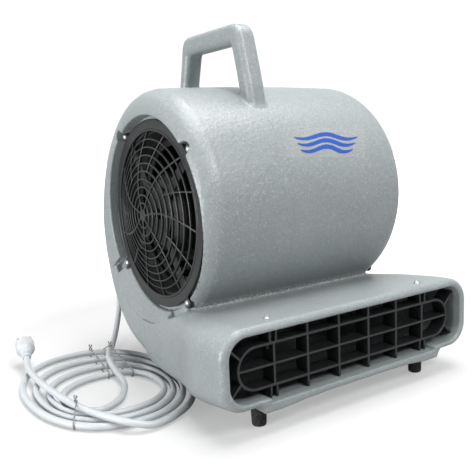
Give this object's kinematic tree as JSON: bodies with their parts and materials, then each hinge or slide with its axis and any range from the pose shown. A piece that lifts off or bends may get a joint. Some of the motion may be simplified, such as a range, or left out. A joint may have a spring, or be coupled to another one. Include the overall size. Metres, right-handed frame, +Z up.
{
  "type": "air mover",
  "caption": "Portable centrifugal floor dryer: horizontal drum with side intake guards, carrying handle and low wide barred outlet, fan driven on a cross shaft, mains cord coiled beside it.",
  "frame": {"origin": "on the floor plane (bottoms of the feet), at the middle of the rectangle on the floor that the machine and its coiled cord take up together; the middle of the fan shaft is above x 75.8 mm, y -2.465 mm", "axes": "+X along the fan shaft from the motor side to the far side, -Y is the way the air leaves (the outlet faces -Y), +Z up"},
  "size_m": [0.5902, 0.4858, 0.5213],
  "materials": {
    "shell": "rotationally moulded polyethylene, light grey, fine speckle, satin",
    "grille": "injection-moulded charcoal plastic, satin",
    "wheel": "moulded dark grey plastic",
    "knob": "moulded black plastic, fine texture",
    "foot_rubber": "black moulded rubber",
    "screw_steel": "zinc-plated or ground steel",
    "zinc_plate": "zinc-plated pressed steel",
    "motor_paint": "dark grey paint",
    "winding": "laminated steel core with varnished copper windings",
    "capacitor_can": "plain drawn can",
    "cord": "light grey PVC sheath",
    "pin_brass": "plain brass pins",
    "tie_wire": "plastic-covered wire",
    "label": "clear-edged film sticker with a plain printed device, no wording"
  },
  "bodies": {
    "body": {"housing": "shell", "intake_grille_left": "grille", "intake_grille_right": "grille", "intake_screw_left_1": "screw_steel", "intake_screw_left_2": "screw_steel", "intake_screw_left_3": "screw_steel", "intake_screw_left_4": "screw_steel", "intake_screw_right_1": "screw_steel", "intake_screw_right_2": "screw_steel", "intake_screw_right_3": "screw_steel", "intake_screw_right_4": "screw_steel", "outlet_grille": "grille", "outlet_screw_left": "screw_steel", "outlet_screw_right": "screw_steel", "foot_front_left": "foot_rubber", "foot_front_right": "foot_rubber", "foot_rear_left": "foot_rubber", "foot_rear_right": "foot_rubber", "foot_screw_front_left": "screw_steel", "foot_screw_front_right": "screw_steel", "foot_screw_rear_left": "screw_steel", "foot_screw_rear_right": "screw_steel", "motor_casing": "motor_paint", "motor_end_bell_outer": "motor_paint", "motor_end_bell_inner": "motor_paint", "motor_stator": "winding", "motor_bearing_outer": "screw_steel", "motor_bearing_inner": "screw_steel", "motor_bracket": "motor_paint", "bracket_screw_1": "screw_steel", "bracket_screw_2": "screw_steel", "inlet_ring_left": "grille", "inlet_ring_right": "grille", "run_capacitor": "capacitor_can", "capacitor_clip": "zinc_plate", "switch_plate": "knob", "speed_switch": "knob", "switch_nut": "screw_steel", "plate_screw_1": "screw_steel", "plate_screw_2": "screw_steel", "plate_screw_3": "screw_steel", "plate_screw_4": "screw_steel", "strain_relief": "grille", "power_cord": "cord", "plug_body": "cord", "plug_pin_1": "pin_brass", "plug_pin_2": "pin_brass", "cord_tie_1": "tie_wire", "cord_tie_2": "tie_wire", "cord_tie_3": "tie_wire", "drum_label": "label"},
    "fan": {"blower_wheel": "wheel", "wheel_hub": "zinc_plate", "hub_set_screw": "screw_steel", "motor_shaft": "screw_steel", "motor_rotor": "zinc_plate"},
    "knob": {"switch_shaft": "screw_steel", "speed_knob": "knob"}
  },
  "joints": [
    {"name": "fan_spin", "type": "hinge", "parent": "body", "child": "fan", "pos_m": [0.0758, -0.00247, 0.2568], "axis": [1, 0, 0], "continuous": true},
    {"name": "speed_knob_turn", "type": "hinge", "parent": "body", "child": "knob", "pos_m": [0.0758, 0.18563, 0.29], "axis": [0, 0.9471, 0.321], "range_deg": [-135, 0]}
  ]
}
